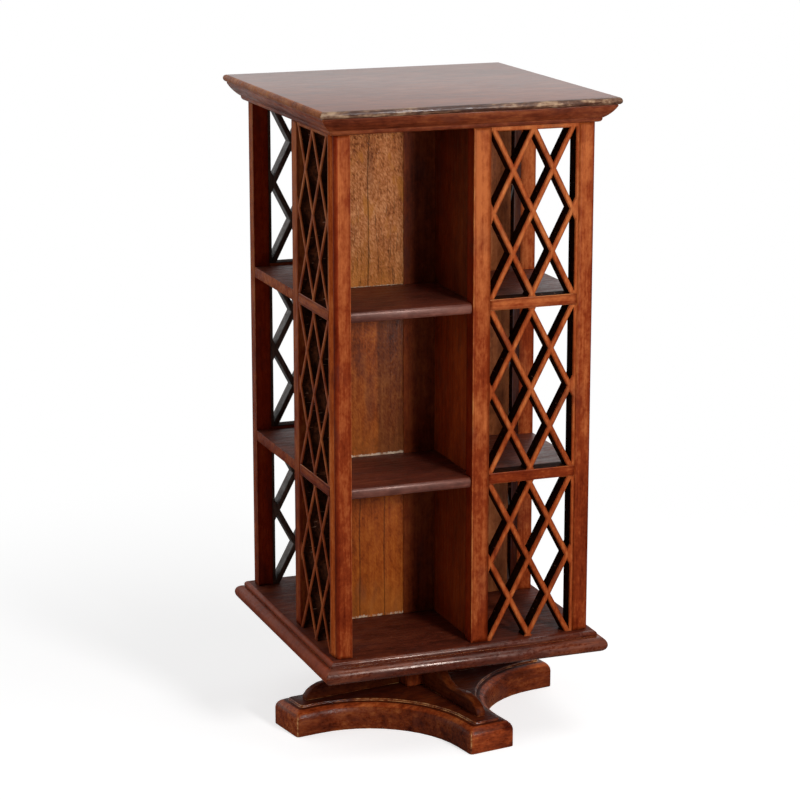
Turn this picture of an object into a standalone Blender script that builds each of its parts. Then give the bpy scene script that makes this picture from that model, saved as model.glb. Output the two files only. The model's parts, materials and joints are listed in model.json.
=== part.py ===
# Revolving bookcase: a square case of three tiers that turns on a cross-shaped base.
# Metres, +Z up. The origin is on the floor, on the spindle's axis, and the case's front faces -Y.
# Every side of the case has an open compartment on its left and a lattice on its right.
# On the left and right sides the rails and the shelf edges make one level band, flush with the posts.

import math

import bmesh
import bpy
from mathutils import Matrix

# Clearances
SEAT_GAP = 0.0003              # between pieces that touch
RUNNING_CLEARANCE = 0.0005     # round the spindle in its bushes

# Case in plan
CASE_SIDE = 0.420              # over the outer faces of the posts
FRAME_DEPTH = 0.026            # square posts, and stiles and rails from their face inwards
STILE_WIDTH = 0.028
FRONT_SHELF_SETBACK = 0.004    # shelf edge behind the face of the frame, front and back
SIDE_SHELF_SETBACK = 0.0005    # the same, left and right
PARTITION_THICKNESS = 0.016
PARTITION_STOP = 0.015         # partition end behind the back of its stile
COLUMN_SIDE = 0.068
COLUMN_BORE = 0.040            # diameter
FRAME_ARRIS = 0.0015           # eased edges of posts, stiles and rails
SHELF_NOSE = 0.005             # rounding of the shelf edges, front and back

# Case in height
LOWER_TIER = 0.251             # clear heights of the compartments
MIDDLE_TIER = 0.2565
UPPER_TIER = 0.2675
SHELF_THICKNESS = 0.017
RAIL_HEIGHT = 0.017
FRONT_RAIL_RISE = 0.004        # top of a rail above the shelf behind it, front and back
SIDE_RAIL_RISE = 0.001         # the same, left and right
TOP_THICKNESS = 0.011

# Lattice
LATTICE_CELLS = 2              # crossed cells, across and up
LATTICE_BAR = 0.0085           # face width of a bar
LATTICE_RELIEF = 0.001         # back of the bars short of the back of the frame
LATTICE_INSET = 0.0043         # bar centre lines from the corners of the panel
SIDE_LATH = 0.005              # edge strip of a lattice, beside its post
TOP_LATH = 0.007               # edge strip over an upper lattice

# Moulded edge of the bottom board
BOTTOM_LEDGE = 0.0055          # flat outside the posts
BOTTOM_OVOLO_RUN = 0.0075
BOTTOM_OVOLO_DROP = 0.006
BOTTOM_FILLET = 0.0024         # upright edge under the ovolo
BOTTOM_QUIRK = 0.0015          # groove between fillet and nose, inwards
QUIRK_RISE = 0.001
NOSE_RADIUS = 0.0123
NOSE_REACH = 0.026             # beyond the face of the case

# Cornice and top
CARCASE_TOP_INSET = 0.005      # behind the face of the case
CORNICE_REACH = 0.026          # beyond the face of the case
CORNICE_LIP = 0.0023           # upright edge over the slope
CORNICE_RUN = 0.0165           # bowed slope, inwards
CORNICE_DROP = 0.0184
CORNICE_BOW = 0.0015           # of the slope, out of a straight line
CORNICE_STEP = 0.0012          # inward step under the slope
CORNICE_FILLET = 0.002         # upright edge under the step
SOFFIT_ROUND = 0.005
TOP_OVERHANG = 0.005           # top board beyond the cornice
TOP_EDGE_ROUND = 0.005

# Base
BASE_TURN = math.radians(9.25)  # arms against the case, at rest
FOOT_REACH = 0.241             # foot end from the axis
FOOT_WIDTH = 0.080
FOOT_CORNER = 0.005            # rounding of the foot's upright corners
HOLLOW_RADIUS = 0.160          # concave sides between the feet
PLATE_SIDE = 0.028             # upright side of the plate
PLATE_ROUND = 0.0145           # rounded upper edge
PLATE_LEDGE = 0.002            # flat between the round and the step
PLATE_STEP = 0.0035            # raised middle
BRACKET_THICKNESS = 0.016
BRACKET_REACH = 0.207
BRACKET_TOE_RUN = 0.045        # convex toe, from its tip to its crown
BRACKET_TOE_RISE = 0.025
BRACKET_TOE_TURN = 25          # degrees of the toe's curve behind the crown
BRACKET_LIP = 0.006            # upright edge over the hollow
BRACKET_RIDGE = 0.002          # rounding along the ridge
HUB_SIDE = 0.070
HUB_HEIGHT = 0.0818
HUB_ARRIS = 0.002

# Spindle and bearings
SPINDLE_DIAMETER = 0.025
SPINDLE_FLOOR = 0.010          # wood left under the spindle's hole
SPINDLE_TOP_SPACE = 0.010      # below the carcase top
SPINDLE_CHAMFER = 0.002
WASHER_DIAMETER = 0.064
WASHER_THICKNESS = 0.005
BUSH_DIAMETER = 0.036
BUSH_FLANGE_DIAMETER = 0.060
BUSH_FLANGE_THICKNESS = 0.004
UPPER_BUSH_LENGTH = 0.040
UPPER_BUSH_TOP_SPACE = 0.020   # below the carcase top

# Facets, and what counts as one point or one plane
ROUND_STEPS = 32
ARC_STEPS = 5
EDGE_STEPS = 3
CORNER_STEPS = 2
TOE_STEPS = 7
HOLLOW_STEPS = 12
WELD_DISTANCE = 0.00002
FLAT_ANGLE = math.radians(0.5)

# Names of the sides and corners, in turning order
SIDES = ("front", "right", "back", "left")
CORNERS = ("front_left", "front_right", "back_right", "back_left")
TIERS = ("lower", "middle", "upper")

# What differs between the sides, in the same order
SHELF_SETBACKS = (FRONT_SHELF_SETBACK, SIDE_SHELF_SETBACK) * 2
RAIL_RISES = (FRONT_RAIL_RISE, SIDE_RAIL_RISE) * 2

# Plan positions on the front side
CASE_HALF = CASE_SIDE / 2
FRAME_BACK = CASE_HALF - FRAME_DEPTH
COLUMN_HALF = COLUMN_SIDE / 2
PARTITION_LEFT = COLUMN_HALF - PARTITION_THICKNESS
PARTITION_END = FRAME_BACK - PARTITION_STOP
STILE_CENTRE = (PARTITION_LEFT + COLUMN_HALF) / 2
STILE_LEFT = STILE_CENTRE - STILE_WIDTH / 2
STILE_RIGHT = STILE_CENTRE + STILE_WIDTH / 2
LATTICE_RIGHT = FRAME_BACK - SIDE_LATH
LATTICE_DEPTH = FRAME_DEPTH - LATTICE_RELIEF
BAR_OVERRUN = 2 * LATTICE_BAR
TOP_HALF = CASE_HALF + CORNICE_REACH + TOP_OVERHANG

# Heights
BOTTOM_THICKNESS = 2 * NOSE_RADIUS + QUIRK_RISE + BOTTOM_FILLET + BOTTOM_OVOLO_DROP
CORNICE_HEIGHT = SOFFIT_ROUND + CORNICE_FILLET + CORNICE_DROP + CORNICE_LIP
PLATE_TOP = PLATE_SIDE + PLATE_ROUND + PLATE_STEP
HUB_BOTTOM = PLATE_TOP + SEAT_GAP
HUB_TOP = HUB_BOTTOM + HUB_HEIGHT
WASHER_BOTTOM = HUB_TOP + SEAT_GAP
WASHER_TOP = WASHER_BOTTOM + WASHER_THICKNESS
FLANGE_BOTTOM = WASHER_TOP + SEAT_GAP
FLANGE_TOP = FLANGE_BOTTOM + BUSH_FLANGE_THICKNESS
CASE_BOTTOM = FLANGE_TOP + SEAT_GAP
FLOOR = CASE_BOTTOM + BOTTOM_THICKNESS
SHELF_BOTTOMS = (FLOOR + LOWER_TIER, FLOOR + LOWER_TIER + SHELF_THICKNESS + MIDDLE_TIER)
SHELF_TOPS = tuple(z + SHELF_THICKNESS for z in SHELF_BOTTOMS)
CEILING = SHELF_TOPS[1] + UPPER_TIER
CARCASE_TOP = CEILING + CORNICE_HEIGHT
TOP_BOTTOM = CARCASE_TOP + SEAT_GAP
PARTITION_SPANS = tuple(zip((FLOOR, *SHELF_TOPS), (*SHELF_BOTTOMS, CEILING)))

# Finishes: base colour, roughness, metallic
MAHOGANY = ((0.20, 0.060, 0.022), 0.38, 0.0)
PANEL_WOOD = ((0.27, 0.105, 0.038), 0.45, 0.0)
MOULDING_WOOD = ((0.14, 0.042, 0.020), 0.34, 0.0)
STEEL = ((0.45, 0.45, 0.46), 0.35, 1.0)
BRASS = ((0.62, 0.45, 0.20), 0.35, 1.0)


def clear_scene():
    for obj in list(bpy.data.objects):
        bpy.data.objects.remove(obj)


def new_collection(name):
    collection = bpy.data.collections.new(name)
    bpy.context.scene.collection.children.link(collection)
    return collection


def new_empty(name, collection, turn=0.0):
    empty = bpy.data.objects.new(name, None)
    empty.rotation_euler.z = turn
    collection.objects.link(empty)
    return empty


def finish_material(name, finish):
    colour, roughness, metallic = finish
    material = bpy.data.materials.new(name)
    material.use_nodes = True
    shader = material.node_tree.nodes["Principled BSDF"]
    shader.inputs["Base Color"].default_value = (*colour, 1.0)
    shader.inputs["Roughness"].default_value = roughness
    shader.inputs["Metallic"].default_value = metallic
    material.diffuse_color = (*colour, 1.0)
    return material


def quarter_turn(side):
    return side * math.pi / 2


def on_side(points, side):
    """Points of the front side, turned to another side."""
    cos = round(math.cos(quarter_turn(side)))
    sin = round(math.sin(quarter_turn(side)))
    return [(x * cos - y * sin, x * sin + y * cos) for x, y in points]


def on_four_sides(points):
    """Points of the front side, repeated round the axis by quarter turns."""
    turned = []
    for side in range(len(SIDES)):
        turned += on_side(points, side)
    return turned


def arc(centre, radii, start, end, steps):
    """Points on an ellipse, from one angle in degrees to another."""
    points = []
    for step in range(steps + 1):
        angle = math.radians(start + (end - start) * step / steps)
        points.append((centre[0] + radii[0] * math.cos(angle), centre[1] + radii[1] * math.sin(angle)))
    return points


def bowed_line(start, end, bow, steps):
    """Points on a shallow arc that bows to the left of the way from start to end."""
    run = end[0] - start[0]
    rise = end[1] - start[1]
    chord = math.hypot(run, rise)
    radius = chord ** 2 / (8 * bow) + bow / 2
    facing = math.atan2(run, -rise)
    spread = math.asin(chord / 2 / radius)
    back = radius - bow
    across = (start[0] + end[0]) / 2 - back * math.cos(facing)
    up = (start[1] + end[1]) / 2 - back * math.sin(facing)
    first = math.degrees(facing + spread)
    last = math.degrees(facing - spread)
    return arc((across, up), (radius, radius), first, last, steps)


def box_mesh(name, low, high):
    mesh = bpy.data.meshes.new(name)
    bm = bmesh.new()
    bmesh.ops.create_cube(bm, size=1.0)
    size = [high[axis] - low[axis] for axis in range(3)]
    centre = [(high[axis] + low[axis]) / 2 for axis in range(3)]
    bmesh.ops.scale(bm, vec=size, verts=bm.verts)
    bmesh.ops.translate(bm, vec=centre, verts=bm.verts)
    bm.to_mesh(mesh)
    bm.free()
    return mesh


def cylinder_mesh(name, diameter, low, high):
    mesh = bpy.data.meshes.new(name)
    bm = bmesh.new()
    radius = diameter / 2
    bmesh.ops.create_cone(
        bm, cap_ends=True, segments=ROUND_STEPS, radius1=radius, radius2=radius, depth=high - low
    )
    bmesh.ops.translate(bm, vec=(0, 0, (low + high) / 2), verts=bm.verts)
    bm.to_mesh(mesh)
    bm.free()
    return mesh


def profile_mesh(name, points, closed):
    """Edges along a profile in the XZ plane, for a Screw modifier."""
    mesh = bpy.data.meshes.new(name)
    bm = bmesh.new()
    verts = [bm.verts.new((x, 0, z)) for x, z in points]
    for first, second in zip(verts, verts[1:]):
        bm.edges.new((first, second))
    if closed:
        bm.edges.new((verts[-1], verts[0]))
    bm.to_mesh(mesh)
    bm.free()
    return mesh


def outline_mesh(name, outlines, low, high):
    """A flat outline with its holes, filled and extruded from one height to another."""
    curve = bpy.data.curves.new(name, "CURVE")
    curve.dimensions = "2D"
    curve.fill_mode = "BOTH"
    curve.extrude = (high - low) / 2
    for points in outlines:
        spline = curve.splines.new("POLY")
        spline.points.add(len(points) - 1)
        for point, (x, y) in zip(spline.points, points):
            point.co = (x, y, 0, 1)
        spline.use_cyclic_u = True
    guide = bpy.data.objects.new(name, curve)
    bpy.context.scene.collection.objects.link(guide)
    mesh = evaluated_mesh(guide, name)
    bpy.data.objects.remove(guide)
    mesh.transform(Matrix.Translation((0, 0, (low + high) / 2)))
    merge_faces(mesh)
    return mesh


def merge_faces(mesh):
    """Welds loose caps and joins faces that lie in one plane."""
    bm = bmesh.new()
    bm.from_mesh(mesh)
    bmesh.ops.remove_doubles(bm, verts=bm.verts, dist=WELD_DISTANCE)
    bmesh.ops.dissolve_limit(bm, angle_limit=FLAT_ANGLE, verts=bm.verts, edges=bm.edges)
    bm.to_mesh(mesh)
    bm.free()


def raised_mesh(name, outline, stations):
    """An outline's face, extruded upwards through stations of inset and height."""
    mesh = bpy.data.meshes.new(name)
    bm = bmesh.new()
    inset, height = stations[0]
    ring = [bm.verts.new((x, y, height)) for x, y in outline(inset)]
    bottom = bmesh.ops.contextual_create(bm, geom=ring)["faces"][0]
    cap = bottom
    for inset, height in stations[1:]:
        order = {tuple(vert.co): index for index, vert in enumerate(ring)}
        raised = bmesh.ops.extrude_face_region(bm, geom=[cap])["geom"]
        if cap is not bottom:
            bmesh.ops.delete(bm, geom=[cap], context="FACES_ONLY")
        cap = next(item for item in raised if isinstance(item, bmesh.types.BMFace))
        ring = sorted(cap.verts, key=lambda vert: order[tuple(vert.co)])
        for vert, (x, y) in zip(ring, outline(inset)):
            vert.co = (x, y, height)
    bmesh.ops.recalc_face_normals(bm, faces=bm.faces)
    bm.to_mesh(mesh)
    bm.free()
    return mesh


def evaluated_mesh(obj, name):
    depsgraph = bpy.context.evaluated_depsgraph_get()
    mesh = bpy.data.meshes.new_from_object(obj.evaluated_get(depsgraph))
    mesh.name = name
    return mesh


def add_piece(name, mesh, material, parent, turn=0.0):
    obj = bpy.data.objects.new(name, mesh)
    if not mesh.materials:
        mesh.materials.append(material)
    obj.parent = parent
    obj.rotation_euler.z = turn
    parts.objects.link(obj)
    return obj


def add_guide(name, mesh):
    obj = bpy.data.objects.new(name, mesh)
    obj.hide_render = True
    obj.display_type = "WIRE"
    cutters.objects.link(obj)
    return obj


def add_bevel(obj, width, segments, limit="ANGLE"):
    bevel = obj.modifiers.new("eased_edges", "BEVEL")
    bevel.width = width
    bevel.segments = segments
    bevel.limit_method = limit
    bevel.use_clamp_overlap = True
    return bevel


def add_boolean(obj, tool, operation):
    boolean = obj.modifiers.new(tool.name, "BOOLEAN")
    boolean.operation = operation
    boolean.solver = "EXACT"
    boolean.object = tool
    return boolean


def add_screw(obj, steps, smooth):
    screw = obj.modifiers.new("turned", "SCREW")
    screw.axis = "Z"
    screw.angle = math.tau
    screw.steps = steps
    screw.render_steps = steps
    screw.use_merge_vertices = True
    screw.merge_threshold = WELD_DISTANCE
    screw.use_smooth_shade = smooth
    return screw


def weight_edges(mesh, chosen):
    """Marks the edges that a weighted Bevel rounds."""
    weights = mesh.attributes.new("bevel_weight_edge", "FLOAT", "EDGE")
    for edge in mesh.edges:
        ends = [mesh.vertices[index].co for index in edge.vertices]
        weights.data[edge.index].value = 1.0 if chosen(*ends) else 0.0


def add_box(name, low, high, material, parent, turn=0.0, arris=0.0):
    obj = add_piece(name, box_mesh(name, low, high), material, parent, turn)
    if arris:
        add_bevel(obj, arris, 1)
    return obj


def add_turned(name, points, closed, material, parent):
    obj = add_piece(name, profile_mesh(name, points, closed), material, parent)
    add_screw(obj, ROUND_STEPS, True)
    return obj


def add_square_board(name, points, material, parent):
    """A square board: its edge's half widths and heights, turned in four steps into mitred sides."""
    diagonal = [(half * math.sqrt(2), height) for half, height in points]
    board = add_piece(name, profile_mesh(name, diagonal, False), material, parent, math.pi / 4)
    add_screw(board, len(SIDES), False)
    return board


def turned_ring(inner, outer, low, high):
    """Closed profile of a plain ring, down its outer side and up its bore."""
    return [(inner, high), (outer, high), (outer, low), (inner, low)]


# Base

def plate_outline(inset):
    """Cross with concave sides, as far inside the full outline as the inset says."""
    reach = FOOT_REACH - inset
    half = FOOT_WIDTH / 2 - inset
    centre = FOOT_WIDTH / 2 + HOLLOW_RADIUS
    radius = HOLLOW_RADIUS + inset
    corner = (FOOT_CORNER, FOOT_CORNER)
    arm = arc((reach - FOOT_CORNER, FOOT_CORNER - half), corner, -90, 0, CORNER_STEPS)
    arm += arc((reach - FOOT_CORNER, half - FOOT_CORNER), corner, 0, 90, CORNER_STEPS)
    arm += arc((centre, centre), (radius, radius), 270, 180, HOLLOW_STEPS)
    return on_four_sides(arm)


def make_base_plate(wood, parent):
    shoulder = PLATE_SIDE + PLATE_ROUND
    step_inset = PLATE_ROUND + PLATE_LEDGE
    stations = [(0.0, 0.0)]
    stations += arc((PLATE_ROUND, PLATE_SIDE), (PLATE_ROUND, PLATE_ROUND), 180, 90, ARC_STEPS)
    stations += [(step_inset, shoulder), (step_inset, PLATE_TOP)]
    plate = add_piece("base_plate", raised_mesh("base_plate", plate_outline, stations), wood, parent)
    seat = SPINDLE_DIAMETER + 2 * SEAT_GAP
    bore = add_guide("plate_bore", cylinder_mesh("plate_bore", seat, SPINDLE_FLOOR, HUB_TOP))
    add_boolean(plate, bore, "DIFFERENCE")


def bracket_outline():
    """Side view of a bracket: distance from the axis, and height."""
    bottom = PLATE_TOP + SEAT_GAP
    inner = HUB_SIDE / 2 + SEAT_GAP
    lip_foot = HUB_TOP - BRACKET_LIP
    crown = BRACKET_REACH - BRACKET_TOE_RUN
    radii = (BRACKET_TOE_RUN, BRACKET_TOE_RISE)
    toe = arc((crown, bottom), radii, 0, 90 + BRACKET_TOE_TURN, TOE_STEPS)
    bend, bend_height = toe[-1]
    slope = math.atan(BRACKET_TOE_RISE / BRACKET_TOE_RUN * math.tan(math.radians(BRACKET_TOE_TURN)))
    hollow = (lip_foot - bend_height) / math.cos(slope)
    head = bend - hollow * (1 + math.sin(slope))
    curve = arc((head + hollow, lip_foot), (hollow, hollow), 270 + math.degrees(slope), 180, TOE_STEPS)
    return [(inner, bottom)] + toe + curve[1:] + [(head, HUB_TOP), (inner, HUB_TOP)]


def make_brackets(wood, parent):
    half = BRACKET_THICKNESS / 2
    mesh = outline_mesh("bracket", [bracket_outline()], -half, half)
    mesh.transform(Matrix.Rotation(math.pi / 2, 4, "X"))
    lowest = PLATE_TOP + 2 * SEAT_GAP
    nearest = HUB_SIDE / 2 + 2 * SEAT_GAP
    side_edge = half - SEAT_GAP

    def on_ridge(a, b):
        same_side = min(abs(a.y), abs(b.y)) > side_edge and a.y * b.y > 0
        on_seat = max(a.z, b.z) < lowest or max(a.x, b.x) < nearest
        return same_side and not on_seat

    weight_edges(mesh, on_ridge)
    for side, name in enumerate(SIDES):
        bracket = add_piece(f"bracket_{name}", mesh, wood, parent, quarter_turn(side - 1))
        add_bevel(bracket, BRACKET_RIDGE, EDGE_STEPS, "WEIGHT")


def make_hub(wood, parent):
    half = HUB_SIDE / 2
    low = (-half, -half, HUB_BOTTOM)
    high = (half, half, HUB_TOP)
    hub = add_box("hub_block", low, high, wood, parent, arris=HUB_ARRIS)
    seat = SPINDLE_DIAMETER + 2 * SEAT_GAP
    bore = add_guide("hub_bore", cylinder_mesh("hub_bore", seat, 0.0, CASE_BOTTOM))
    add_boolean(hub, bore, "DIFFERENCE")


def make_spindle(steel, parent):
    radius = SPINDLE_DIAMETER / 2
    low = SPINDLE_FLOOR + SEAT_GAP
    high = CEILING - SPINDLE_TOP_SPACE
    points = [
        (0.0, high),
        (radius - SPINDLE_CHAMFER, high),
        (radius, high - SPINDLE_CHAMFER),
        (radius, low),
        (0.0, low),
    ]
    add_turned("spindle", points, False, steel, parent)


def make_washer(steel, parent):
    bore = SPINDLE_DIAMETER / 2 + SEAT_GAP
    ring = turned_ring(bore, WASHER_DIAMETER / 2, WASHER_BOTTOM, WASHER_TOP)
    add_turned("thrust_washer", ring, True, steel, parent)


# Bearings in the case

def make_bushes(brass, parent):
    bore = SPINDLE_DIAMETER / 2 + RUNNING_CLEARANCE
    sleeve = BUSH_DIAMETER / 2
    flange = BUSH_FLANGE_DIAMETER / 2
    lower = [
        (bore, FLOOR),
        (sleeve, FLOOR),
        (sleeve, FLANGE_TOP),
        (flange, FLANGE_TOP),
        (flange, FLANGE_BOTTOM),
        (bore, FLANGE_BOTTOM),
    ]
    add_turned("lower_bush", lower, True, brass, parent)
    high = CEILING - UPPER_BUSH_TOP_SPACE
    upper = turned_ring(bore, COLUMN_BORE / 2 - SEAT_GAP, high - UPPER_BUSH_LENGTH, high)
    add_turned("upper_bush", upper, True, brass, parent)


# Boards of the case

def bottom_profile():
    """Half width and height along the bottom board's moulded edge, from the top down."""
    ledge = CASE_HALF + BOTTOM_LEDGE
    fillet = ledge + BOTTOM_OVOLO_RUN
    fillet_top = FLOOR - BOTTOM_OVOLO_DROP
    nose = CASE_HALF + NOSE_REACH - NOSE_RADIUS
    nose_top = CASE_BOTTOM + 2 * NOSE_RADIUS
    points = [(0.0, FLOOR)]
    points += arc((ledge, fillet_top), (BOTTOM_OVOLO_RUN, BOTTOM_OVOLO_DROP), 90, 0, ARC_STEPS)
    points += [(fillet, fillet_top - BOTTOM_FILLET), (fillet - BOTTOM_QUIRK, nose_top)]
    points += arc((nose, CASE_BOTTOM + NOSE_RADIUS), (NOSE_RADIUS, NOSE_RADIUS), 90, -90, 2 * ARC_STEPS)
    points += [(0.0, CASE_BOTTOM)]
    return points


def make_bottom_board(wood, parent):
    board = add_square_board("bottom_board", bottom_profile(), wood, parent)
    seat = BUSH_DIAMETER + 2 * SEAT_GAP
    bore = add_guide("bottom_bore", cylinder_mesh("bottom_bore", seat, 0.0, FLOOR + BOTTOM_THICKNESS))
    add_boolean(board, bore, "DIFFERENCE")


def shelf_outline():
    """Shelf edge: a tongue in each open mouth, and the back of the frame elsewhere."""
    inner = FRAME_BACK - SEAT_GAP
    tongue = STILE_LEFT - SEAT_GAP
    outline = []
    for side, setback in enumerate(SHELF_SETBACKS):
        edge = CASE_HALF - setback
        outline += on_side([(-inner, -edge), (tongue, -edge), (tongue, -inner)], side)
    return outline


def on_shelf_nose(a, b):
    """Whether an edge runs along a front or back tongue, above or below."""
    nose_line = CASE_HALF - FRONT_SHELF_SETBACK - SEAT_GAP
    return min(abs(a.y), abs(b.y)) > nose_line and abs(a.z - b.z) < SEAT_GAP


def make_shelves(wood, parent):
    hole = COLUMN_HALF + SEAT_GAP
    square = [(-hole, -hole), (hole, -hole), (hole, hole), (-hole, hole)]
    for name, low, high in zip(("lower", "upper"), SHELF_BOTTOMS, SHELF_TOPS):
        mesh = outline_mesh(f"shelf_{name}", [shelf_outline(), square], low, high)
        weight_edges(mesh, on_shelf_nose)
        shelf = add_piece(f"shelf_{name}", mesh, wood, parent)
        add_bevel(shelf, SHELF_NOSE, EDGE_STEPS, "WEIGHT")


def make_column(wood, parent):
    low = (-COLUMN_HALF, -COLUMN_HALF, FLOOR + SEAT_GAP)
    high = (COLUMN_HALF, COLUMN_HALF, CEILING - SEAT_GAP)
    column = add_box("spindle_column", low, high, wood, parent)
    bore = add_guide("column_bore", cylinder_mesh("column_bore", COLUMN_BORE, CASE_BOTTOM, CARCASE_TOP))
    add_boolean(column, bore, "DIFFERENCE")


def make_partitions(wood, parent):
    for tier, (low, high) in zip(TIERS, PARTITION_SPANS):
        mesh = box_mesh(
            f"partition_{tier}",
            (PARTITION_LEFT, -PARTITION_END, low + SEAT_GAP),
            (COLUMN_HALF, -COLUMN_HALF - SEAT_GAP, high - SEAT_GAP),
        )
        for side, name in enumerate(SIDES):
            add_piece(f"partition_{name}_{tier}", mesh, wood, parent, quarter_turn(side))


# Frame of the case

def make_posts(wood, parent):
    low = (-CASE_HALF, -CASE_HALF, FLOOR + SEAT_GAP)
    high = (-FRAME_BACK, -FRAME_BACK, CEILING - SEAT_GAP)
    for side, name in enumerate(CORNERS):
        add_box(f"post_{name}", low, high, wood, parent, quarter_turn(side), FRAME_ARRIS)


def make_stiles(wood, parent):
    low = (STILE_LEFT, -CASE_HALF, FLOOR + SEAT_GAP)
    high = (STILE_RIGHT, -FRAME_BACK, CEILING - SEAT_GAP)
    for side, name in enumerate(SIDES):
        add_box(f"stile_{name}", low, high, wood, parent, quarter_turn(side), FRAME_ARRIS)


def make_rails(wood, parent):
    left = STILE_RIGHT + SEAT_GAP
    right = FRAME_BACK - SEAT_GAP
    for level, shelf_top in zip(("lower", "upper"), SHELF_TOPS):
        for side, name in enumerate(SIDES):
            high = shelf_top + RAIL_RISES[side]
            add_box(
                f"rail_{name}_{level}",
                (left, -CASE_HALF, high - RAIL_HEIGHT),
                (right, -FRAME_BACK, high),
                wood,
                parent,
                quarter_turn(side),
                FRAME_ARRIS,
            )


def lattice_spans(side):
    """Heights between which each tier leaves space for a lattice on this side."""
    rail_tops = [shelf_top + RAIL_RISES[side] for shelf_top in SHELF_TOPS]
    rail_bottoms = [top - RAIL_HEIGHT for top in rail_tops]
    return zip((FLOOR, *rail_tops), (*rail_bottoms, CEILING))


def bar_ends(low, high):
    """Ends of the crossed bars' centre lines, as pairs of points across and up the panel."""
    left = STILE_RIGHT + LATTICE_INSET
    cell_width = (LATTICE_RIGHT - LATTICE_INSET - left) / LATTICE_CELLS
    bottom = low + LATTICE_INSET
    cell_height = (high - LATTICE_INSET - bottom) / LATTICE_CELLS
    count = LATTICE_CELLS
    ends = []
    for offset in range(1 - count, count):
        start = (max(offset, 0), max(-offset, 0))
        end = (min(count, count + offset), min(count, count - offset))
        for mirrored in (False, True):
            pair = []
            for across, up in (start, end):
                across = count - across if mirrored else across
                pair.append((left + across * cell_width, bottom + up * cell_height))
            ends.append(pair)
    return ends


def bar_mesh(name, start, end):
    """A bar along its centre line, long enough to run past the panel."""
    run = end[0] - start[0]
    rise = end[1] - start[1]
    length = math.hypot(run, rise) + 2 * BAR_OVERRUN
    mesh = box_mesh(
        name, (-length / 2, 0, -LATTICE_BAR / 2), (length / 2, LATTICE_DEPTH, LATTICE_BAR / 2)
    )
    mesh.transform(Matrix.Rotation(-math.atan2(rise, run), 4, "Y"))
    mesh.transform(Matrix.Translation(((start[0] + end[0]) / 2, -CASE_HALF, (start[1] + end[1]) / 2)))
    return mesh


def lattice_mesh(tier, low, high):
    left = STILE_RIGHT + SEAT_GAP
    right = FRAME_BACK - SEAT_GAP
    bottom = low + SEAT_GAP
    top = high - SEAT_GAP
    back = LATTICE_DEPTH - CASE_HALF
    tools = []
    for number, (start, end) in enumerate(bar_ends(low, high)):
        tools.append(add_guide(f"bar_{tier}_{number}", bar_mesh("bar", start, end)))
    laths = [((LATTICE_RIGHT, -CASE_HALF, bottom), (right, back, top))]
    if tier == TIERS[-1]:
        laths.append(((left, -CASE_HALF, top - TOP_LATH), (right, back, top)))
    for number, lath in enumerate(laths):
        tools.append(add_guide(f"lath_{tier}_{number}", box_mesh("lath", *lath)))
    panel = box_mesh("panel", (left, -CASE_HALF - LATTICE_DEPTH, bottom), (right, 0, top))
    limit = add_guide(f"lattice_limit_{tier}", panel)
    for tool in tools[1:]:
        add_boolean(tools[0], tool, "UNION")
    add_boolean(tools[0], limit, "INTERSECT")
    mesh = evaluated_mesh(tools[0], f"lattice_{tier}")
    merge_faces(mesh)
    for guide in (*tools, limit):
        bpy.data.objects.remove(guide)
    return mesh


def make_lattices(wood, parent):
    for side, name in enumerate(SIDES):
        for tier, (low, high) in zip(TIERS, lattice_spans(side)):
            mesh = lattice_mesh(tier, low, high)
            add_piece(f"lattice_{name}_{tier}", mesh, wood, parent, quarter_turn(side))


# Top of the case

def make_carcase_top(wood, parent):
    half = CASE_HALF - CARCASE_TOP_INSET
    add_box("carcase_top", (-half, -half, CEILING), (half, half, CARCASE_TOP), wood, parent)


def cornice_profile():
    """Outward distance from the axis, and height, round a length of the cornice."""
    inner = CASE_HALF - CARCASE_TOP_INSET + SEAT_GAP
    outer = CASE_HALF + CORNICE_REACH
    slope_top = (outer, CARCASE_TOP - CORNICE_LIP)
    slope_foot = (outer - CORNICE_RUN, CARCASE_TOP - CORNICE_LIP - CORNICE_DROP)
    fillet = slope_foot[0] - CORNICE_STEP
    soffit = (SOFFIT_ROUND, SOFFIT_ROUND)
    points = [(inner, CEILING), (inner, CARCASE_TOP), (outer, CARCASE_TOP)]
    points += bowed_line(slope_top, slope_foot, CORNICE_BOW, ARC_STEPS)
    points += [(fillet, slope_foot[1])]
    points += arc((fillet - SOFFIT_ROUND, CEILING + SOFFIT_ROUND), soffit, 0, -90, EDGE_STEPS)
    return points


def cornice_mesh():
    """A length of moulding whose ends are slid along to the mitres."""
    mesh = outline_mesh("cornice", [cornice_profile()], -CASE_HALF, CASE_HALF)
    mitre_gap = SEAT_GAP / math.sqrt(2)
    bm = bmesh.new()
    bm.from_mesh(mesh)
    for vert in bm.verts:
        outward, height, along = vert.co
        vert.co = (math.copysign(outward - mitre_gap, along), -outward, height)
    bmesh.ops.recalc_face_normals(bm, faces=bm.faces)
    bm.to_mesh(mesh)
    bm.free()
    return mesh


def make_cornice(wood, parent):
    mesh = cornice_mesh()
    for side, name in enumerate(SIDES):
        add_piece(f"cornice_{name}", mesh, wood, parent, quarter_turn(side))


def make_top_board(wood, parent):
    high = TOP_BOTTOM + TOP_THICKNESS
    centre = TOP_HALF - TOP_EDGE_ROUND
    radii = (TOP_EDGE_ROUND, TOP_EDGE_ROUND)
    points = [(0.0, high)]
    points += arc((centre, high - TOP_EDGE_ROUND), radii, 90, 0, EDGE_STEPS)
    points += arc((centre, TOP_BOTTOM + TOP_EDGE_ROUND), radii, 0, -90, EDGE_STEPS)
    points += [(0.0, TOP_BOTTOM)]
    add_square_board("top_board", points, wood, parent)


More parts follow.
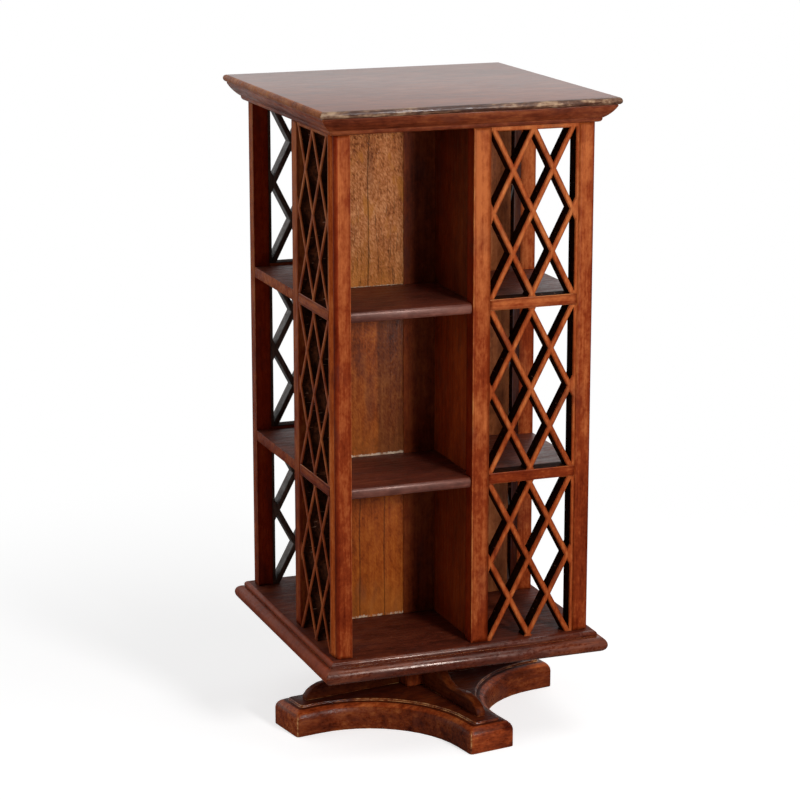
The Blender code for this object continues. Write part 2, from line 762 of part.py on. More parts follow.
def main():
    frame_wood = finish_material("mahogany", MAHOGANY)
    panel_wood = finish_material("panel_wood", PANEL_WOOD)
    moulding_wood = finish_material("moulding_wood", MOULDING_WOOD)
    steel = finish_material("steel", STEEL)
    brass = finish_material("brass", BRASS)
    base_axis = new_empty("base_axis", parts, BASE_TURN)
    case_axis = new_empty("case_axis", parts)
    make_base_plate(moulding_wood, base_axis)
    make_brackets(moulding_wood, base_axis)
    make_hub(moulding_wood, base_axis)
    make_spindle(steel, base_axis)
    make_washer(steel, base_axis)
    make_bushes(brass, case_axis)
    make_bottom_board(moulding_wood, case_axis)
    make_shelves(panel_wood, case_axis)
    make_column(panel_wood, case_axis)
    make_partitions(panel_wood, case_axis)
    make_posts(frame_wood, case_axis)
    make_stiles(frame_wood, case_axis)
    make_rails(frame_wood, case_axis)
    make_lattices(frame_wood, case_axis)
    make_carcase_top(panel_wood, case_axis)
    make_cornice(moulding_wood, case_axis)
    make_top_board(moulding_wood, case_axis)


clear_scene()
parts = new_collection("revolving_bookcase")
cutters = new_collection("cutters")
main()
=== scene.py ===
# Looks of the revolving bookcase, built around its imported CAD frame.
# Metres, +Z up. Every wooden node gets a dressed mesh with eased edges and a grain of its own.

import itertools
import json
import math
from collections import namedtuple

import bmesh
import bpy
from mathutils import Matrix, Vector
from mathutils.geometry import delaunay_2d_cdt


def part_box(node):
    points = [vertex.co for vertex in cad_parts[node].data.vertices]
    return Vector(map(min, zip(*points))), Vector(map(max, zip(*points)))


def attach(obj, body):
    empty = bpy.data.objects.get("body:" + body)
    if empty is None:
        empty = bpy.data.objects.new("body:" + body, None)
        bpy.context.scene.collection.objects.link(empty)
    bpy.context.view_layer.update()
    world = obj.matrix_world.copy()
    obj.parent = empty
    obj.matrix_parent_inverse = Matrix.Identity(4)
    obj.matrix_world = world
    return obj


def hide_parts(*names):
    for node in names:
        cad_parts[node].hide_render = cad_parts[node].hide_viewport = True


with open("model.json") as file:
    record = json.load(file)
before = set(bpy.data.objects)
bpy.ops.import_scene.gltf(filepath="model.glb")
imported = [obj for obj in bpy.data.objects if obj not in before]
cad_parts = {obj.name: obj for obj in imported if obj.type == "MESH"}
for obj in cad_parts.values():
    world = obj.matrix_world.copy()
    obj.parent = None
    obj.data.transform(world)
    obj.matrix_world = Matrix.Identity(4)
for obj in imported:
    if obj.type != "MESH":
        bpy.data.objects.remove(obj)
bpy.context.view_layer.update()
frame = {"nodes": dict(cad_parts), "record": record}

# Camera, fitted to the photograph's edges
CAMERA_PLACE = (-1.49286, -3.89270, 1.55020)
CAMERA_TARGET = (-0.0273, 0.0, 0.5183)
CAMERA_LENS = 120.76
CAMERA_SENSOR = 36.0

# Studio
KEY_AZIMUTH = 13.0             # degrees to the right of the case's front
KEY_ELEVATION = 13.5
KEY_DISTANCE = 2.68
KEY_SIZE = 0.5
KEY_POWER = 44.0
TOP_LIGHT_PLACE = (0.7, -0.9, 2.6)
TOP_LIGHT_SIZE = 1.2
TOP_LIGHT_POWER = 10.0
LIGHT_TARGET = (0.0, 0.0, 0.62)
FRONT_AMBIENT = 0.08           # soft light from the dim room in front
BACK_AMBIENT = 0.45            # soft light from the white sweep behind
LEFT_AMBIENT = 0.60            # soft light from the white wall on the left
FRONT_REFLECTION = 0.06        # what a gloss shows of the room in front
BACK_REFLECTION = 1.0
FLOOR_REFLECTION = 0.45        # what a gloss shows of the floor far behind
WHITE = (1, 1, 1, 1)
FLOOR_SIZE = 40.0
FLOOR_COLOUR = (0.65, 0.65, 0.65, 1.0)
FLOOR_SHOWN = (0.74, 0.74, 0.74, 1.0)   # the share of the floor's look that takes shadows
FLOOR_GLOW = 0.62
FLOOR_FADE = (0.45, 1.5)       # distances between which the shadows fade into white
FLOOR_DEPTHS = (0.3, 2.5)      # distances behind the axis between which its reflection brightens

# Parts of a direction, backward or to the right, between which the room's light changes
REFLECTION_TURN = (-0.2, 0.7)
AMBIENT_TURN = (-0.4, 0.7)
LEFT_TURN = (0.0, -0.7)
LEFT_START = (-0.45, 0.1)

# Eased edges of the dressed pieces
ROUND_SEGMENTS = 3
SHARP_ANGLE = math.radians(32)
FLAT_ANGLE = math.radians(0.5)
WELD_DISTANCE = 0.00002
POST_ARRIS = 0.0060            # radius of a post's outer arris
CRISP_ARRIS = 0.0025           # and of the front right post's, which is less rubbed
MOUTH_ARRIS = 0.0014           # of a post beside its mouth
STILE_ARRIS = 0.0020
INNER_ARRIS = 0.001            # of posts and stiles, inside the case
RAIL_UPPER_ARRIS = 0.0011
RAIL_LOWER_ARRIS = 0.0006
BOARD_EDGE = 0.0008            # of the partitions, the shelves and the bottom board
PLAIN_EDGE = 0.001             # of the hub, the column and the carcase top
BRACKET_EDGE = 0.0010
PLATE_EDGE = 0.0014
CORNICE_EDGE = 0.0005
TOP_EDGE = 0.0006
FRAME_RIM = 0.009              # width of the darker strip along a member's edges
FOOT_END = 0.22                # from the axis, less than the end of a foot
FLOOR_SLACK = 0.0005           # how far below the bottom board's top its floor may lie
SAME_SLOT = -1                 # a rounding that keeps the finish beside it
ARRIS_SLOT = 1
MEMBER_FINISHES = ("frame", "arris", "charred")   # in the order of a member's slots

# Lattice bars: each ring's step back from a cut, and its depth below the face
LATTICE_RINGS = ((0.0028, 0.0), (0.0012, 0.0004), (0.0, 0.0016))
LATTICE_SHARP = math.radians(25)
BORDER_SHARE = 0.42            # the most of a bar's end that one of its edges may take
BORDER_SINK = 0.05             # share of a ring's depth along the panel's border
BORDER_SLACK = 0.0002          # how far off the border a face may lie and still be on it
MITRE_LIMIT = 2.3              # the furthest a sharp corner moves, in steps
STRAIGHT_BEND = 0.01           # sine of the bend below which two edges count as one line
FILL_SLACK = 0.000001

# How near a face's normal has to be to a direction, as a cosine
FACING = 0.9
LEVEL_FACE = 0.97
NEARLY_LEVEL = 0.92
SIDE_FACE = 0.7
MOSTLY_FACING = 0.5
ON_ROUNDING = 0.1

# Grain: the step from one piece's place in the tree to the next, and the plate's direction
GRAIN_STEP = (0.37, 0.61, 1.13)
PLATE_GRAIN = (1, 0.16, 0)

# Noise cells per metre: twice across the grain, then along it
CELLS = {
    "blotch": (20, 20, 8),
    "mottle": (85, 85, 50),
    "streaks": (140, 140, 5),
    "fibres": (650, 650, 45),
    "speck": (260, 260, 170),
    "fleck": (420, 420, 170),
    "sheen": (160, 160, 22),
    "smudge": (26, 26, 11),
    "wear": (90, 90, 40),
    "dots": (330, 330, 330),
    "wander": (30, 30, 12),
    "gilding": (40, 40, 9),
    "gilt_spots": (45, 45, 18),
    "pores": (480, 480, 28),
    "torn": (300, 300, 120),
    "tufts": (110, 110, 60),
    "scorch": (260, 260, 120),
    "dashes": (60, 60, 420),
    "rings": (40, 40, 900),
}

# Noise values between which a mark comes in
LIMITS = {
    "smudge": (0.56, 0.72),
    "wear": (0.36, 0.60),
    "dots": (0.735, 0.775),
    "gilt_spots": (0.60, 0.70),
    "pores": (0.60, 0.70),
    "tufts": (0.36, 0.56),
    "dashes": (0.70, 0.76),
    "rings": (0.3, 0.7),
}

# Shares of the noises in a wood's tone, in its relief and in its gloss
TONE_WEIGHTS = {"blotch": 1.3, "mottle": 0.8, "streaks": 0.9, "fibres": 0.5, "speck": 0.6}
RELIEF_WEIGHTS = {"speck": 0.8, "fibres": 0.8, "mottle": 0.5}
SHEEN_WEIGHTS = {"speck": 1.2, "sheen": 1.6}
SHEEN_RANGE = (-0.35, 0.35)
MIDDLE_TONE = 0.45
FLECK_SLANT = 0.45             # radians off the grain
PAINTED_LIGHT_HEIGHTS = (0.45, 0.98)    # heights between which a wood may grow paler, as painted light from above
RELIEF_DEPTH = 0.0012

# Edges of a wood: the width of a mask, and the cosines where it is full and where it ends
BEVEL_SAMPLES = 6
SHADED_EDGE = (0.010, 0.60, 0.995)
WORN_EDGE = (0.0025, 0.72, 0.985)

# Marks on a partition
JOINT_WANDER = 0.006           # width of the band that a joint wanders in
JOINT_WIDTHS = (0.0016, 0.0004)
JOINT_SHADE = 0.6
JOINT_DEPTH = 0.6
BOARD_BLEND = 0.003            # half the width of the change to a second board
GILT_RAGGED = 0.16             # how far the gold's upper edge runs up and down
GILT_HEIGHTS = (0.16, 0.07)
PORE_HEIGHTS = (0.19, 0.09)
TORN_SOFTNESS = 0.0016
TORN_SHADE = 0.75

# Scorched cuts
SCORCH_STOPS = ((0.35, (0.014, 0.0035, 0.0012)), (0.75, (0.055, 0.014, 0.005)))
SCORCH_ROUGHNESS = 0.65
SCORCH_SPECULAR = 0.02
SCORCH_RELIEF = (0.3, 0.0008)  # strength and depth
DASH_SHARE = 0.6
DASH = (0.30, 0.16, 0.11)

# Turned metal
STEEL = (0.55, 0.55, 0.56)
BRASS = (0.72, 0.52, 0.24)
TURNED_ROUGHNESS = (0.28, 0.43)
RING_SHADE = 0.7

# Colours of wear, marks and gloss
WORN = (0.60, 0.19, 0.035)
OCHRE = (0.46, 0.23, 0.070)
SMUDGE = (0.085, 0.026, 0.020)
SEAM = (0.035, 0.010, 0.004)
FIBRE = (0.68, 0.54, 0.40)
SPECK = (0.60, 0.46, 0.38)
GOLD = (0.53, 0.185, 0.034)
SECOND_BOARD = (0.58, 0.62, 0.86)
NEUTRAL_GLOSS = (1.0, 1.0, 1.0)
WARM_GLOSS = (1.0, 0.84, 0.76)
PINK_GLOSS = (1.0, 0.70, 0.62)

# Names that the CAD frame uses
SIDES = ("front", "right", "back", "left")
CORNERS = ("front_left", "front_right", "back_right", "back_left")
TIERS = ("lower", "middle", "upper")
LEVELS = ("lower", "upper")

# A cut panel's outer face: its corners, the corner before and after each, whether the edge that starts
# at a corner is cut, and the least and greatest coordinates
Outline = namedtuple("Outline", "corners before after cut low high")

piece_numbers = itertools.count(1)


# Node graphs

def add(tree, kind, inputs=None, **settings):
    """Adds a shader node; an input is a value, or another node's output."""
    node = tree.nodes.new(kind)
    for key, value in settings.items():
        setattr(node, key, value)
    for key, value in (inputs or {}).items():
        if isinstance(value, bpy.types.NodeSocket):
            tree.links.new(value, node.inputs[key])
        else:
            node.inputs[key].default_value = value
    return node


def math_node(tree, operation, *values):
    return add(tree, "ShaderNodeMath", dict(enumerate(values)), operation=operation).outputs[0]


def vector_node(tree, operation, first, second, output):
    node = add(tree, "ShaderNodeVectorMath", {0: first, 1: second}, operation=operation)
    return node.outputs[output]


def remap(tree, value, low, high, to_low=0.0, to_high=1.0):
    inputs = {"Value": value, "From Min": low, "From Max": high, "To Min": to_low, "To Max": to_high}
    return add(tree, "ShaderNodeMapRange", inputs, interpolation_type="SMOOTHSTEP").outputs[0]


def noise(tree, vector, kind, detail=2.0, roughness=0.55, distortion=0.0):
    """One kind of noise, with its own number of cells along each axis."""
    stretched = vector_node(tree, "MULTIPLY", vector, CELLS[kind], "Vector")
    inputs = {"Vector": stretched, "Scale": 1.0, "Detail": detail}
    inputs.update({"Roughness": roughness, "Distortion": distortion})
    return add(tree, "ShaderNodeTexNoise", inputs).outputs[0]


def patches(tree, vector, kind, share=1.0, detail=2.0, roughness=0.55):
    """Patches of one kind of noise, which come in between its limits."""
    return remap(tree, noise(tree, vector, kind, detail, roughness), *LIMITS[kind], 0.0, share)


def mix_colour(tree, factor, first, second, blend="MIX"):
    """Mixes a colour socket with plain red, green and blue values."""
    inputs = {0: factor, 6: first, 7: (*second, 1.0)}
    return add(tree, "ShaderNodeMix", inputs, data_type="RGBA", blend_type=blend).outputs[2]


def mix_value(tree, factor, first, second):
    return add(tree, "ShaderNodeMix", {0: factor, 2: first, 3: second}, data_type="FLOAT").outputs[0]


def mix_shader(tree, factor, first, second):
    return add(tree, "ShaderNodeMixShader", {0: factor, 1: first, 2: second}).outputs[0]


def emission(tree, strength):
    return add(tree, "ShaderNodeEmission", {"Color": WHITE, "Strength": strength}).outputs[0]


def ramp(tree, value, stops):
    node = add(tree, "ShaderNodeValToRGB", {"Fac": value})
    elements = node.color_ramp.elements
    while len(elements) < len(stops):
        elements.new(0.5)
    for element, (position, colour) in zip(elements, stops):
        element.position = position
        element.color = (*colour, 1.0)
    return node.outputs[0]


def attribute(tree, name, output="Vector"):
    return add(tree, "ShaderNodeAttribute", attribute_name=name).outputs[output]


def object_place(tree):
    return add(tree, "ShaderNodeTexCoord").outputs["Object"]


def separate(tree, vector):
    return add(tree, "ShaderNodeSeparateXYZ", {0: vector}).outputs


def new_material(name):
    material = bpy.data.materials.new(name)
    material.use_nodes = True
    tree = material.node_tree
    return material, tree, tree.nodes["Principled BSDF"]


def add_bump(tree, shader, height, strength, depth):
    bump = add(tree, "ShaderNodeBump", {"Strength": strength, "Distance": depth, "Height": height})
    tree.links.new(bump.outputs[0], shader.inputs["Normal"])


def edge_mask(tree, radius, low, high):
    """One along the arrises, where a rounded normal leaves the true one."""
    rounded = add(tree, "ShaderNodeBevel", {"Radius": radius}, samples=BEVEL_SAMPLES).outputs[0]
    true = add(tree, "ShaderNodeNewGeometry").outputs["Normal"]
    return remap(tree, vector_node(tree, "DOT_PRODUCT", rounded, true, "Value"), high, low)


# Materials

def wood_noises(tree, grain):
    """The noises of every wood, from broad blotches down to fine flecks."""
    slant = {"Vector": grain, "Rotation": (0, FLECK_SLANT, 0)}
    slanted = add(tree, "ShaderNodeMapping", slant).outputs[0]
    return {
        "blotch": noise(tree, grain, "blotch", 3.0),
        "mottle": noise(tree, grain, "mottle"),
        "streaks": noise(tree, grain, "streaks", 3.0, 0.6, 0.5),
        "fibres": noise(tree, grain, "fibres"),
        "speck": noise(tree, grain, "speck"),
        "fleck": noise(tree, slanted, "fleck", 1.0, 0.5, 0.4),
        "sheen": noise(tree, grain, "sheen"),
    }


def weighted(tree, noises, weights):
    """The sum of noises about their middle value, each with its own weight."""
    total = -0.5 * sum(weights.values())
    for name, weight in weights.items():
        total = math_node(tree, "MULTIPLY_ADD", noises[name], weight, total)
    return total


def figured(tree, noises, tones, contrast, flecks, painted_top_light):
    """Dark, middle and light tones laid out by the figure, which painted light may make paler upwards."""
    figure = weighted(tree, noises, {**TONE_WEIGHTS, "fleck": flecks})
    tone = math_node(tree, "MULTIPLY_ADD", figure, contrast, MIDDLE_TONE)
    if painted_top_light:
        level = separate(tree, object_place(tree))["Z"]
        tone = math_node(tree, "ADD", tone, remap(tree, level, *PAINTED_LIGHT_HEIGHTS, 0.0, painted_top_light))
    dark, middle, light = tones
    return ramp(tree, tone, ((0.0, dark), (MIDDLE_TONE, middle), (1.0, light)))


def edged(tree, colour, dark, rim):
    """A colour made darker near the edges and on the strips marked as rims."""
    shaded = edge_mask(tree, *SHADED_EDGE)
    strip = remap(tree, attribute(tree, "rim", "Fac"), 0.0, 1.0)
    share = math_node(tree, "MULTIPLY", math_node(tree, "MAXIMUM", shaded, strip), rim)
    return mix_colour(tree, share, colour, dark)


def rubbed(tree, colour, grain, worn, wear):
    """A colour worn off in patches along the arrises."""
    arris = edge_mask(tree, *WORN_EDGE)
    patchy = math_node(tree, "MULTIPLY", arris, patches(tree, grain, "wear"))
    return mix_colour(tree, math_node(tree, "MULTIPLY", patchy, wear), colour, worn)


def wood(name, tones, worn=WORN, gloss=0.45, specular=0.12, contrast=1.0, relief=0.4, wear=0.5, rim=0.4,
         painted_top_light=0.0, smudge=0.4, flecks=0.0, specks=0.0, spread=0.10, tint=NEUTRAL_GLOSS, details=None):
    """Lacquered wood: figure, stains and specks along its grain, dark near its edges, worn on them."""
    material, tree, shader = new_material(name)
    grain = attribute(tree, "grain")
    noises = wood_noises(tree, grain)
    colour = figured(tree, noises, tones, contrast, flecks, painted_top_light)
    stain = patches(tree, grain, "smudge", smudge, roughness=0.6)
    colour = mix_colour(tree, stain, colour, SMUDGE)
    colour = edged(tree, colour, tones[0], rim)
    colour = rubbed(tree, colour, grain, worn, wear)
    height = weighted(tree, noises, {**RELIEF_WEIGHTS, "fleck": flecks})
    if specks:
        colour = mix_colour(tree, patches(tree, grain, "dots", specks, 1.0), colour, SPECK)
    if details:
        colour, height = details(tree, colour, height)
    tree.links.new(colour, shader.inputs["Base Color"])
    sheen = weighted(tree, noises, SHEEN_WEIGHTS)
    roughness = remap(tree, sheen, *SHEEN_RANGE, gloss - spread, gloss + spread)
    tree.links.new(roughness, shader.inputs["Roughness"])
    shader.inputs["Specular IOR Level"].default_value = specular
    shader.inputs["Specular Tint"].default_value = (*tint, 1.0)
    if relief:
        add_bump(tree, shader, height, min(relief, 1.0), RELIEF_DEPTH * max(relief, 1.0))
    return material


def gilded(tree, colour, grain, level, gold):
    """Golden wood towards the foot of a partition."""
    ragged = math_node(tree, "MULTIPLY_ADD", noise(tree, grain, "gilding"), GILT_RAGGED, level)
    return mix_colour(tree, remap(tree, ragged, *GILT_HEIGHTS, 0.0, gold), colour, GOLD)


def pored(tree, colour, grain, level, gold, pores):
    """Golden spots, and dark pores towards the foot of a partition."""
    colour = mix_colour(tree, patches(tree, grain, "gilt_spots", gold), colour, GOLD)
    dark = patches(tree, grain, "pores", pores, 1.0)
    downward = remap(tree, level, *PORE_HEIGHTS)
    return mix_colour(tree, math_node(tree, "MULTIPLY", dark, downward), colour, SEAM)


def jointed(tree, colour, height, across, joints):
    """Dark grooves along the joints of a partition."""
    for joint in joints:
        away = math_node(tree, "ABSOLUTE", math_node(tree, "SUBTRACT", across, joint))
        mark = remap(tree, away, *JOINT_WIDTHS, 0.0, JOINT_SHADE)
        colour = mix_colour(tree, mark, colour, SEAM)
        height = math_node(tree, "MULTIPLY_ADD", mark, -JOINT_DEPTH, height)
    return colour, height


def frayed(tree, colour, height, grain, level, fibre_height):
    """Pale torn fibres at the foot of a partition."""
    torn = noise(tree, grain, "torn", 3.0, 0.7)
    reach = math_node(tree, "MULTIPLY", torn, 2 * fibre_height)
    above = math_node(tree, "SUBTRACT", reach, level)
    fibres = remap(tree, above, 0.0, TORN_SOFTNESS, 0.0, TORN_SHADE)
    fibres = math_node(tree, "MULTIPLY", fibres, patches(tree, grain, "tufts"))
    return mix_colour(tree, fibres, colour, FIBRE), math_node(tree, "ADD", height, fibres)


def panel_details(joints, fibre_height, gold, second_board=None, pores=0.0):
    """A function that marks a partition; joints and a second board lie in metres from its outer end."""
    def marks(tree, colour, height):
        panel = separate(tree, attribute(tree, "panel"))
        grain = attribute(tree, "grain")
        wander = noise(tree, grain, "wander")
        wander = math_node(tree, "MULTIPLY_ADD", wander, JOINT_WANDER, -JOINT_WANDER / 2)
        across = math_node(tree, "ADD", panel["X"], wander)
        colour = gilded(tree, colour, grain, panel["Y"], gold)
        if pores:
            colour = pored(tree, colour, grain, panel["Y"], gold, pores)
        if second_board:
            beyond = remap(tree, across, second_board - BOARD_BLEND, second_board + BOARD_BLEND)
            colour = mix_colour(tree, beyond, colour, SECOND_BOARD, "MULTIPLY")
        colour, height = jointed(tree, colour, height, across, joints)
        return frayed(tree, colour, height, grain, panel["Y"], fibre_height)
    return marks


def charred(name):
    """Scorched sides of the cut lattice: dark brown, with pale dashes."""
    material, tree, shader = new_material(name)
    grain = attribute(tree, "grain")
    scorch = noise(tree, grain, "scorch")
    dashes = patches(tree, grain, "dashes", DASH_SHARE, 1.0)
    colour = mix_colour(tree, dashes, ramp(tree, scorch, SCORCH_STOPS), DASH)
    tree.links.new(colour, shader.inputs["Base Color"])
    shader.inputs["Roughness"].default_value = SCORCH_ROUGHNESS
    shader.inputs["Specular IOR Level"].default_value = SCORCH_SPECULAR
    add_bump(tree, shader, scorch, *SCORCH_RELIEF)
    return material


def metal(name, colour):
    """Turned metal with fine rings along its axis."""
    material, tree, shader = new_material(name)
    rings = noise(tree, object_place(tree), "rings")
    low, high = LIMITS["rings"]
    dull = tuple(RING_SHADE * part for part in colour)
    tree.links.new(ramp(tree, rings, ((low, dull), (high, colour))), shader.inputs["Base Color"])
    tree.links.new(remap(tree, rings, low, high, *TURNED_ROUGHNESS), shader.inputs["Roughness"])
    shader.inputs["Metallic"].default_value = 1.0
    return material


def scaled(tones, share):
    """Tones made lighter or darker by one share."""
    return tuple(tuple(share * part for part in tone) for tone in tones)


# Finishes, each with its dark, middle and light tones

def frame_finishes():
    """Posts, stiles, rails and lattices."""
    frame_tones = ((0.10, 0.0085, 0.0012), (0.23, 0.033, 0.0065), (0.48, 0.126, 0.034))
    arris_wear_and_highlight_tones = ((0.20, 0.024, 0.004), (0.44, 0.090, 0.016), (0.68, 0.240, 0.062))
    arris_shade_tones = ((0.10, 0.008, 0.001), (0.21, 0.022, 0.004), (0.34, 0.055, 0.012))
    shaded_inner_tones = ((0.10, 0.005, 0.0006), (0.25, 0.020, 0.003), (0.42, 0.058, 0.011))
    lattice_tones = ((0.13, 0.014, 0.0025), (0.35, 0.066, 0.014), (0.58, 0.180, 0.050))
    shaded_lattice_tones = ((0.030, 0.016, 0.010), (0.085, 0.055, 0.042), (0.18, 0.120, 0.095))
    return {
        "frame": wood("frame_mahogany", frame_tones, specular=0.04, contrast=0.9, wear=0.2, rim=0.6,
                      painted_top_light=0.38, smudge=0.15),
        # Painted light: a lighter, warmer, matt copy of the frame for the front left post's left face
        "frame_painted_light_side": wood("frame_painted_light_side", scaled(lattice_tones, 1.3), specular=0.0, contrast=0.8, wear=0.2),
        # Painted shade: a darker, redder copy of the frame for the faces beside the mouths
        "frame_painted_shade": wood("frame_painted_shade", shaded_inner_tones, specular=0.04, contrast=0.65, wear=0.0),
        # Lighter rounded arrises: partly wear, partly a painted highlight
        "arris": wood("painted_highlight_worn_arris", arris_wear_and_highlight_tones, specular=0.20, contrast=1.6, painted_top_light=0.15),
        # Painted shade: a dark red band on the posts' rounded outer arrises
        "shaded_arris": wood("shaded_arris", arris_shade_tones, specular=0.06, wear=0.0, painted_top_light=0.10),
        "lattice": wood("lattice_face", lattice_tones, specular=0.05, contrast=0.9, wear=0.0, rim=0.5,
                        painted_top_light=0.25),
        # Painted shade: a dark grey-brown copy for the lattices' inner faces and the back lattice's cuts
        "lattice_inner_painted_shade": wood("lattice_inner_painted_shade", shaded_lattice_tones, gloss=0.4, specular=0.3, wear=0.0, rim=0.0),
        "charred": charred("charred_cut"),
    }


def board_finishes():
    """The bottom board, the shelves, the cornice and the top."""
    moulding_tones = ((0.045, 0.005, 0.0016), (0.105, 0.017, 0.006), (0.24, 0.054, 0.017))
    painted_light_side_tones = ((0.13, 0.018, 0.006), (0.26, 0.046, 0.015), (0.38, 0.088, 0.032))
    shelf_tones = ((0.05, 0.010, 0.005), (0.12, 0.022, 0.010), (0.21, 0.050, 0.020))
    nose_tones = ((0.06, 0.014, 0.009), (0.13, 0.035, 0.022), (0.24, 0.080, 0.050))
    cornice_tones = ((0.055, 0.007, 0.002), (0.17, 0.031, 0.010), (0.34, 0.090, 0.028))
    top_tones = ((0.12, 0.020, 0.006), (0.22, 0.042, 0.012), (0.34, 0.090, 0.030))
    edge_highlight_tones = ((0.06, 0.018, 0.009), (0.18, 0.085, 0.045), (0.48, 0.310, 0.185))
    orange_tones = ((0.20, 0.040, 0.010), (0.42, 0.115, 0.030), (0.60, 0.250, 0.080))
    return {
        "moulding": wood("moulding_mahogany", moulding_tones, gloss=0.34, specular=0.75, relief=0.12,
                         specks=0.3, spread=0.13, tint=WARM_GLOSS),
        # Painted light: a lighter, matt copy of the moulding for the bottom board's left and right sides
        "moulding_painted_light_side": wood("moulding_painted_light_side", painted_light_side_tones, specular=0.08, contrast=0.6, relief=0.1),
        "floor": wood("floor_mahogany", shelf_tones, gloss=0.55, specular=0.08, specks=0.25),
        "shelf": wood("shelf_mahogany", scaled(shelf_tones, 1.15), gloss=0.48, specular=0.40, specks=0.25),
        "nose": wood("nose_mahogany", nose_tones, gloss=0.44, specular=1.0, relief=0.15, spread=0.05,
                     tint=PINK_GLOSS),
        "cornice": wood("cornice_mahogany", cornice_tones, gloss=0.42, specular=0.15),
        # Painted light: a lighter copy of the cornice for the left and right cornices
        "cornice_painted_light_side": wood("cornice_painted_light_side", scaled(cornice_tones, 1.7), gloss=0.42, specular=0.2),
        "top": wood("top_mahogany", top_tones, gloss=0.30, specular=0.5, relief=0.0, spread=0.02,
                    tint=WARM_GLOSS),
        # Pale cream front and back edges of the top: a painted highlight, with ochre wear
        "top_edge": wood("top_edge_painted_highlight_and_wear", edge_highlight_tones, OCHRE, gloss=0.42, specular=0.6, spread=0.14,
                         contrast=2.2),
        "top_side": wood("top_worn_side", orange_tones),
    }


def base_finishes():
    """The plate, its brackets and the hub."""
    base_tones = ((0.08, 0.008, 0.0018), (0.29, 0.047, 0.010), (0.58, 0.150, 0.036))
    shaded_plate_tones = ((0.025, 0.003, 0.001), (0.070, 0.010, 0.003), (0.19, 0.036, 0.008))
    ochre_wear_and_highlight_tones = ((0.07, 0.010, 0.003), (0.30, 0.075, 0.018), (0.68, 0.360, 0.140))
    shaded_hollow_tones = scaled(base_tones, 0.62)
    shaded_bracket_tones = scaled(base_tones, 0.4)
    return {
        "base": wood("base_mahogany", base_tones, gloss=0.36, specular=0.16, wear=0.8),
        # Painted shade: a darker copy of the base for the plate's hollow sides
        "base_painted_shade_hollow": wood("base_painted_shade_hollow_side", shaded_hollow_tones, gloss=0.36, specular=0.2, wear=0.8),
        # Painted shade: a darker copy of the base for the brackets under the bottom board
        "bracket": wood("bracket_painted_shade", shaded_bracket_tones, gloss=0.36, specular=0.08, wear=0.8),
        # Painted shade: a darker copy for the plate's top
        "base_painted_shade_top": wood("base_plate_painted_shade_top", shaded_plate_tones, gloss=0.40, specular=0.20),
        # Ochre rounded arrises of the base: partly wear, partly a painted highlight
        "base_arris": wood("base_painted_highlight_worn_arris", ochre_wear_and_highlight_tones, gloss=0.32, specular=0.5, contrast=2.0),
    }


def panel_finishes():
    """The column, and the partitions as back walls and as side walls, most side walls with painted shade.
    """
    column_tones = ((0.085, 0.012, 0.0025), (0.19, 0.031, 0.0065), (0.31, 0.068, 0.015))
    tan_tones = ((0.17, 0.040, 0.011), (0.46, 0.150, 0.048), (0.76, 0.335, 0.140))
    golden_tones = ((0.10, 0.017, 0.003), (0.245, 0.048, 0.0075), (0.43, 0.118, 0.020))
    amber_tones = ((0.13, 0.020, 0.002), (0.30, 0.058, 0.006), (0.46, 0.120, 0.015))
    wall_shade_tones = ((0.09, 0.010, 0.0015), (0.20, 0.028, 0.0045), (0.34, 0.066, 0.011))
    grey_tones = ((0.16, 0.040, 0.011), (0.36, 0.103, 0.031), (0.54, 0.180, 0.062))
    upper_marks = panel_details(joints=(0.076,), fibre_height=0.0020, gold=0.75, pores=0.6)
    middle_marks = panel_details(joints=(), fibre_height=0.0042, gold=0.2, second_board=0.091)
    lower_marks = panel_details(joints=(0.0605, 0.102), fibre_height=0.0046, gold=0.3)
    return {
        "column": wood("column_wood", column_tones),
        "back_upper": wood("panel_tan", tan_tones, contrast=0.85, relief=2.0, flecks=1.6, specks=0.3,
                           details=upper_marks),
        "back_middle": wood("panel_brown", golden_tones, flecks=0.8, details=middle_marks),
        "back_lower": wood("panel_amber", amber_tones, flecks=0.6, details=lower_marks),
        # Painted shade: darker, redder copies of the partitions' wood for the side walls, which lie in
        # shade
        "side_upper": wood("panel_painted_shade_upper", scaled(wall_shade_tones, 0.85), contrast=0.75),
        "side_middle": wood("panel_painted_shade_middle", scaled(wall_shade_tones, 1.9), contrast=0.75),
        "side_lower": wood("panel_painted_shade_lower", scaled(wall_shade_tones, 1.3), contrast=0.75),
        "grey_wall": wood("panel_grey", grey_tones),
    }


# Dressed pieces

def clean_copy(node):
    """A node's mesh with its corners welded and its flat faces joined."""
    bm = bmesh.new()
    bm.from_mesh(frame["nodes"][node].data)
    bmesh.ops.remove_doubles(bm, verts=bm.verts, dist=WELD_DISTANCE)
    bmesh.ops.dissolve_limit(bm, angle_limit=FLAT_ANGLE, verts=bm.verts, edges=bm.edges)
    return bm


def to_mesh(bm, name):
    mesh = bpy.data.meshes.new(name)
    bm.to_mesh(mesh)
    bm.free()
    return mesh


def evaluated(obj, name):
    depsgraph = bpy.context.evaluated_depsgraph_get()
    mesh = bpy.data.meshes.new_from_object(obj.evaluated_get(depsgraph), depsgraph=depsgraph)
    mesh.name = name
    return mesh


